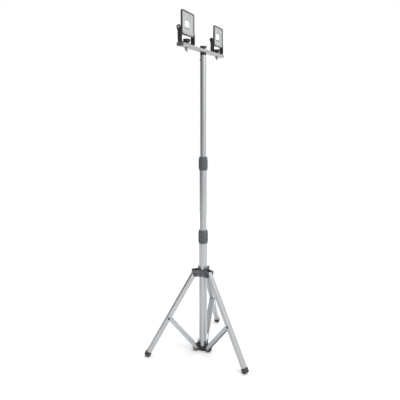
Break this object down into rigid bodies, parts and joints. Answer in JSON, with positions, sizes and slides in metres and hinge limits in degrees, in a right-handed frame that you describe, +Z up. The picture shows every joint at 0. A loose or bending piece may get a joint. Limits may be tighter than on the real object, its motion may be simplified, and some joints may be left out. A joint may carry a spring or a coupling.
{
  "type": "work light",
  "caption": "Portable work light: LED flood lamps in tilting brackets on a crossbar, carried by a telescopic mast with twist collars on a folding tripod.",
  "frame": {"origin": "centre of the lower hub's flat underside, on the mast's axis at floor level", "axes": "+Z up along the mast, +X along the crossbar, and the lamps face -Y"},
  "size_m": [0.4885, 0.4603, 1.382],
  "materials": {
    "anodised_aluminium": "satin",
    "zinc_plated_steel": "bright zinc",
    "black_painted_steel": "matt powder coat",
    "cast_housing": "fine textured coat",
    "grey_plastic": "moulded",
    "black_plastic": "moulded",
    "rubber": "matt",
    "lens_glass": "clear",
    "reflector": "metallised satin",
    "led": "white board with phosphor field"
  },
  "bodies": {
    "mast": {"lower_tube": "anodised_aluminium", "lower_bush": "black_plastic", "lower_hub": "black_plastic", "lower_pin_1": "black_painted_steel", "lower_pin_2": "black_painted_steel", "lower_pin_3": "black_painted_steel"},
    "lower_collar": {"lower_collar": "grey_plastic"},
    "middle_mast": {"middle_tube": "anodised_aluminium", "upper_bush": "black_plastic"},
    "upper_collar": {"upper_collar": "grey_plastic"},
    "upper_mast": {"upper_tube": "anodised_aluminium", "bar_socket": "black_plastic", "socket_screw": "black_painted_steel"},
    "crossbar": {"crossbar": "anodised_aluminium", "end_cap_left": "grey_plastic", "end_cap_right": "grey_plastic", "stud_nut_left": "zinc_plated_steel", "stud_nut_right": "zinc_plated_steel"},
    "top_knob": {"top_knob": "black_plastic", "top_knob_stud": "zinc_plated_steel"},
    "bracket_left": {"bracket_left": "black_painted_steel"},
    "bracket_knob_left": {"bracket_knob_left": "black_plastic", "bracket_stud_left": "zinc_plated_steel"},
    "lamp_left": {"lamp_housing_left": "cast_housing", "driver_cover_left": "cast_housing", "cable_gland_left": "black_plastic", "led_board_left": "led", "reflector_left": "reflector", "lens_left": "lens_glass", "tilt_screw_outer_left": "zinc_plated_steel", "tilt_screw_inner_left": "black_painted_steel"},
    "bracket_right": {"bracket_right": "black_painted_steel"},
    "bracket_knob_right": {"bracket_knob_right": "black_plastic", "bracket_stud_right": "zinc_plated_steel"},
    "lamp_right": {"lamp_housing_right": "cast_housing", "driver_cover_right": "cast_housing", "cable_gland_right": "black_plastic", "led_board_right": "led", "reflector_right": "reflector", "lens_right": "lens_glass", "tilt_screw_outer_right": "zinc_plated_steel", "tilt_screw_inner_right": "black_painted_steel"},
    "strut_1": {"strut_1": "zinc_plated_steel", "middle_pin_1": "black_painted_steel"},
    "leg_1": {"leg_1": "anodised_aluminium", "foot_1": "rubber"},
    "strut_2": {"strut_2": "zinc_plated_steel", "middle_pin_2": "black_painted_steel"},
    "leg_2": {"leg_2": "anodised_aluminium", "foot_2": "rubber"},
    "strut_3": {"strut_3": "zinc_plated_steel", "middle_pin_3": "black_painted_steel"},
    "leg_3": {"leg_3": "anodised_aluminium", "foot_3": "rubber"},
    "hub": {"upper_hub": "grey_plastic", "upper_pin_1": "black_painted_steel", "upper_pin_2": "black_painted_steel", "upper_pin_3": "black_painted_steel"},
    "lock_knob": {"lock_knob": "black_plastic", "lock_screw": "zinc_plated_steel"}
  },
  "joints": [
    {"name": "lower_collar_twist", "type": "hinge", "parent": "mast", "child": "lower_collar", "pos_m": [0, 0, 0.529], "axis": [0, 0, 1], "range_deg": [0, 90]},
    {"name": "middle_mast_slide", "type": "slide", "parent": "mast", "child": "middle_mast", "axis": [0, 0, 1], "range_m": [-0.248, 0.1]},
    {"name": "upper_collar_twist", "type": "hinge", "parent": "middle_mast", "child": "upper_collar", "pos_m": [0, 0, 0.839], "axis": [0, 0, 1], "range_deg": [0, 90]},
    {"name": "upper_mast_slide", "type": "slide", "parent": "middle_mast", "child": "upper_mast", "axis": [0, 0, 1], "range_m": [-0.37, 0]},
    {"name": "crossbar_swivel", "type": "hinge", "parent": "upper_mast", "child": "crossbar", "pos_m": [0, 0, 1.272], "axis": [0, 0, 1], "range_deg": [-90, 90]},
    {"name": "top_knob_turn", "type": "hinge", "parent": "crossbar", "child": "top_knob", "pos_m": [0, 0, 1.284], "axis": [0, 0, 1], "range_deg": [0, 360]},
    {"name": "bracket_swivel_left", "type": "hinge", "parent": "crossbar", "child": "bracket_left", "pos_m": [-0.1645, 0, 1.2783], "axis": [0, 0, 1], "range_deg": [-90, 90]},
    {"name": "bracket_knob_turn_left", "type": "hinge", "parent": "crossbar", "child": "bracket_knob_left", "pos_m": [-0.1645, 0, 1.285], "axis": [0, 0, 1], "range_deg": [0, 360]},
    {"name": "lamp_tilt_left", "type": "hinge", "parent": "bracket_left", "child": "lamp_left", "pos_m": [-0.1645, 0.004, 1.326], "axis": [1, 0, 0], "range_deg": [-90, 90]},
    {"name": "bracket_swivel_right", "type": "hinge", "parent": "crossbar", "child": "bracket_right", "pos_m": [0.1645, 0, 1.2783], "axis": [0, 0, 1], "range_deg": [-90, 90]},
    {"name": "bracket_knob_turn_right", "type": "hinge", "parent": "crossbar", "child": "bracket_knob_right", "pos_m": [0.1645, 0, 1.285], "axis": [0, 0, 1], "range_deg": [0, 360]},
    {"name": "lamp_tilt_right", "type": "hinge", "parent": "bracket_right", "child": "lamp_right", "pos_m": [0.1645, 0.004, 1.326], "axis": [1, 0, 0], "range_deg": [-90, 90]},
    {"name": "strut_1_fold", "type": "hinge", "parent": "mast", "child": "strut_1", "pos_m": [0.03291, 0.00237, 0.013], "axis": [0.0718, -0.9974, 0], "range_deg": [0, 32]},
    {"name": "leg_1_fold", "type": "hinge", "parent": "strut_1", "child": "leg_1", "pos_m": [0.15421, 0.01111, 0.17195], "axis": [-0.0718, 0.9974, 0], "range_deg": [0, 59.15]},
    {"name": "strut_2_fold", "type": "hinge", "parent": "mast", "child": "strut_2", "pos_m": [-0.01851, 0.02732, 0.013], "axis": [0.8279, 0.5609, 0], "range_deg": [0, 32]},
    {"name": "leg_2_fold", "type": "hinge", "parent": "strut_2", "child": "leg_2", "pos_m": [-0.08672, 0.12799, 0.17195], "axis": [-0.8279, -0.5609, 0], "range_deg": [0, 59.15]},
    {"name": "strut_3_fold", "type": "hinge", "parent": "mast", "child": "strut_3", "pos_m": [-0.0144, -0.02969, 0.013], "axis": [-0.8997, 0.4365, 0], "range_deg": [0, 32]},
    {"name": "leg_3_fold", "type": "hinge", "parent": "strut_3", "child": "leg_3", "pos_m": [-0.06748, -0.1391, 0.17195], "axis": [0.8997, -0.4365, 0], "range_deg": [0, 59.15]},
    {"name": "hub_level", "type": "hinge", "parent": "leg_1", "child": "hub", "pos_m": [0.0389, 0.0028, 0.368], "axis": [0.0718, -0.9974, 0], "range_deg": [0, 27.15]},
    {"name": "lock_knob_turn", "type": "hinge", "parent": "hub", "child": "lock_knob", "pos_m": [0.01528, 0.03149, 0.364], "axis": [0.4365, 0.8997, 0], "range_deg": [0, 360]}
  ],
  "couplings": [
    {"joint": "leg_1_fold", "follows": "strut_1_fold", "ratio": 1.847},
    {"joint": "strut_2_fold", "follows": "strut_1_fold", "ratio": 1},
    {"joint": "leg_2_fold", "follows": "strut_1_fold", "ratio": 1.847},
    {"joint": "strut_3_fold", "follows": "strut_1_fold", "ratio": 1},
    {"joint": "leg_3_fold", "follows": "strut_1_fold", "ratio": 1.847},
    {"joint": "hub_level", "follows": "strut_1_fold", "ratio": 0.847}
  ]
}
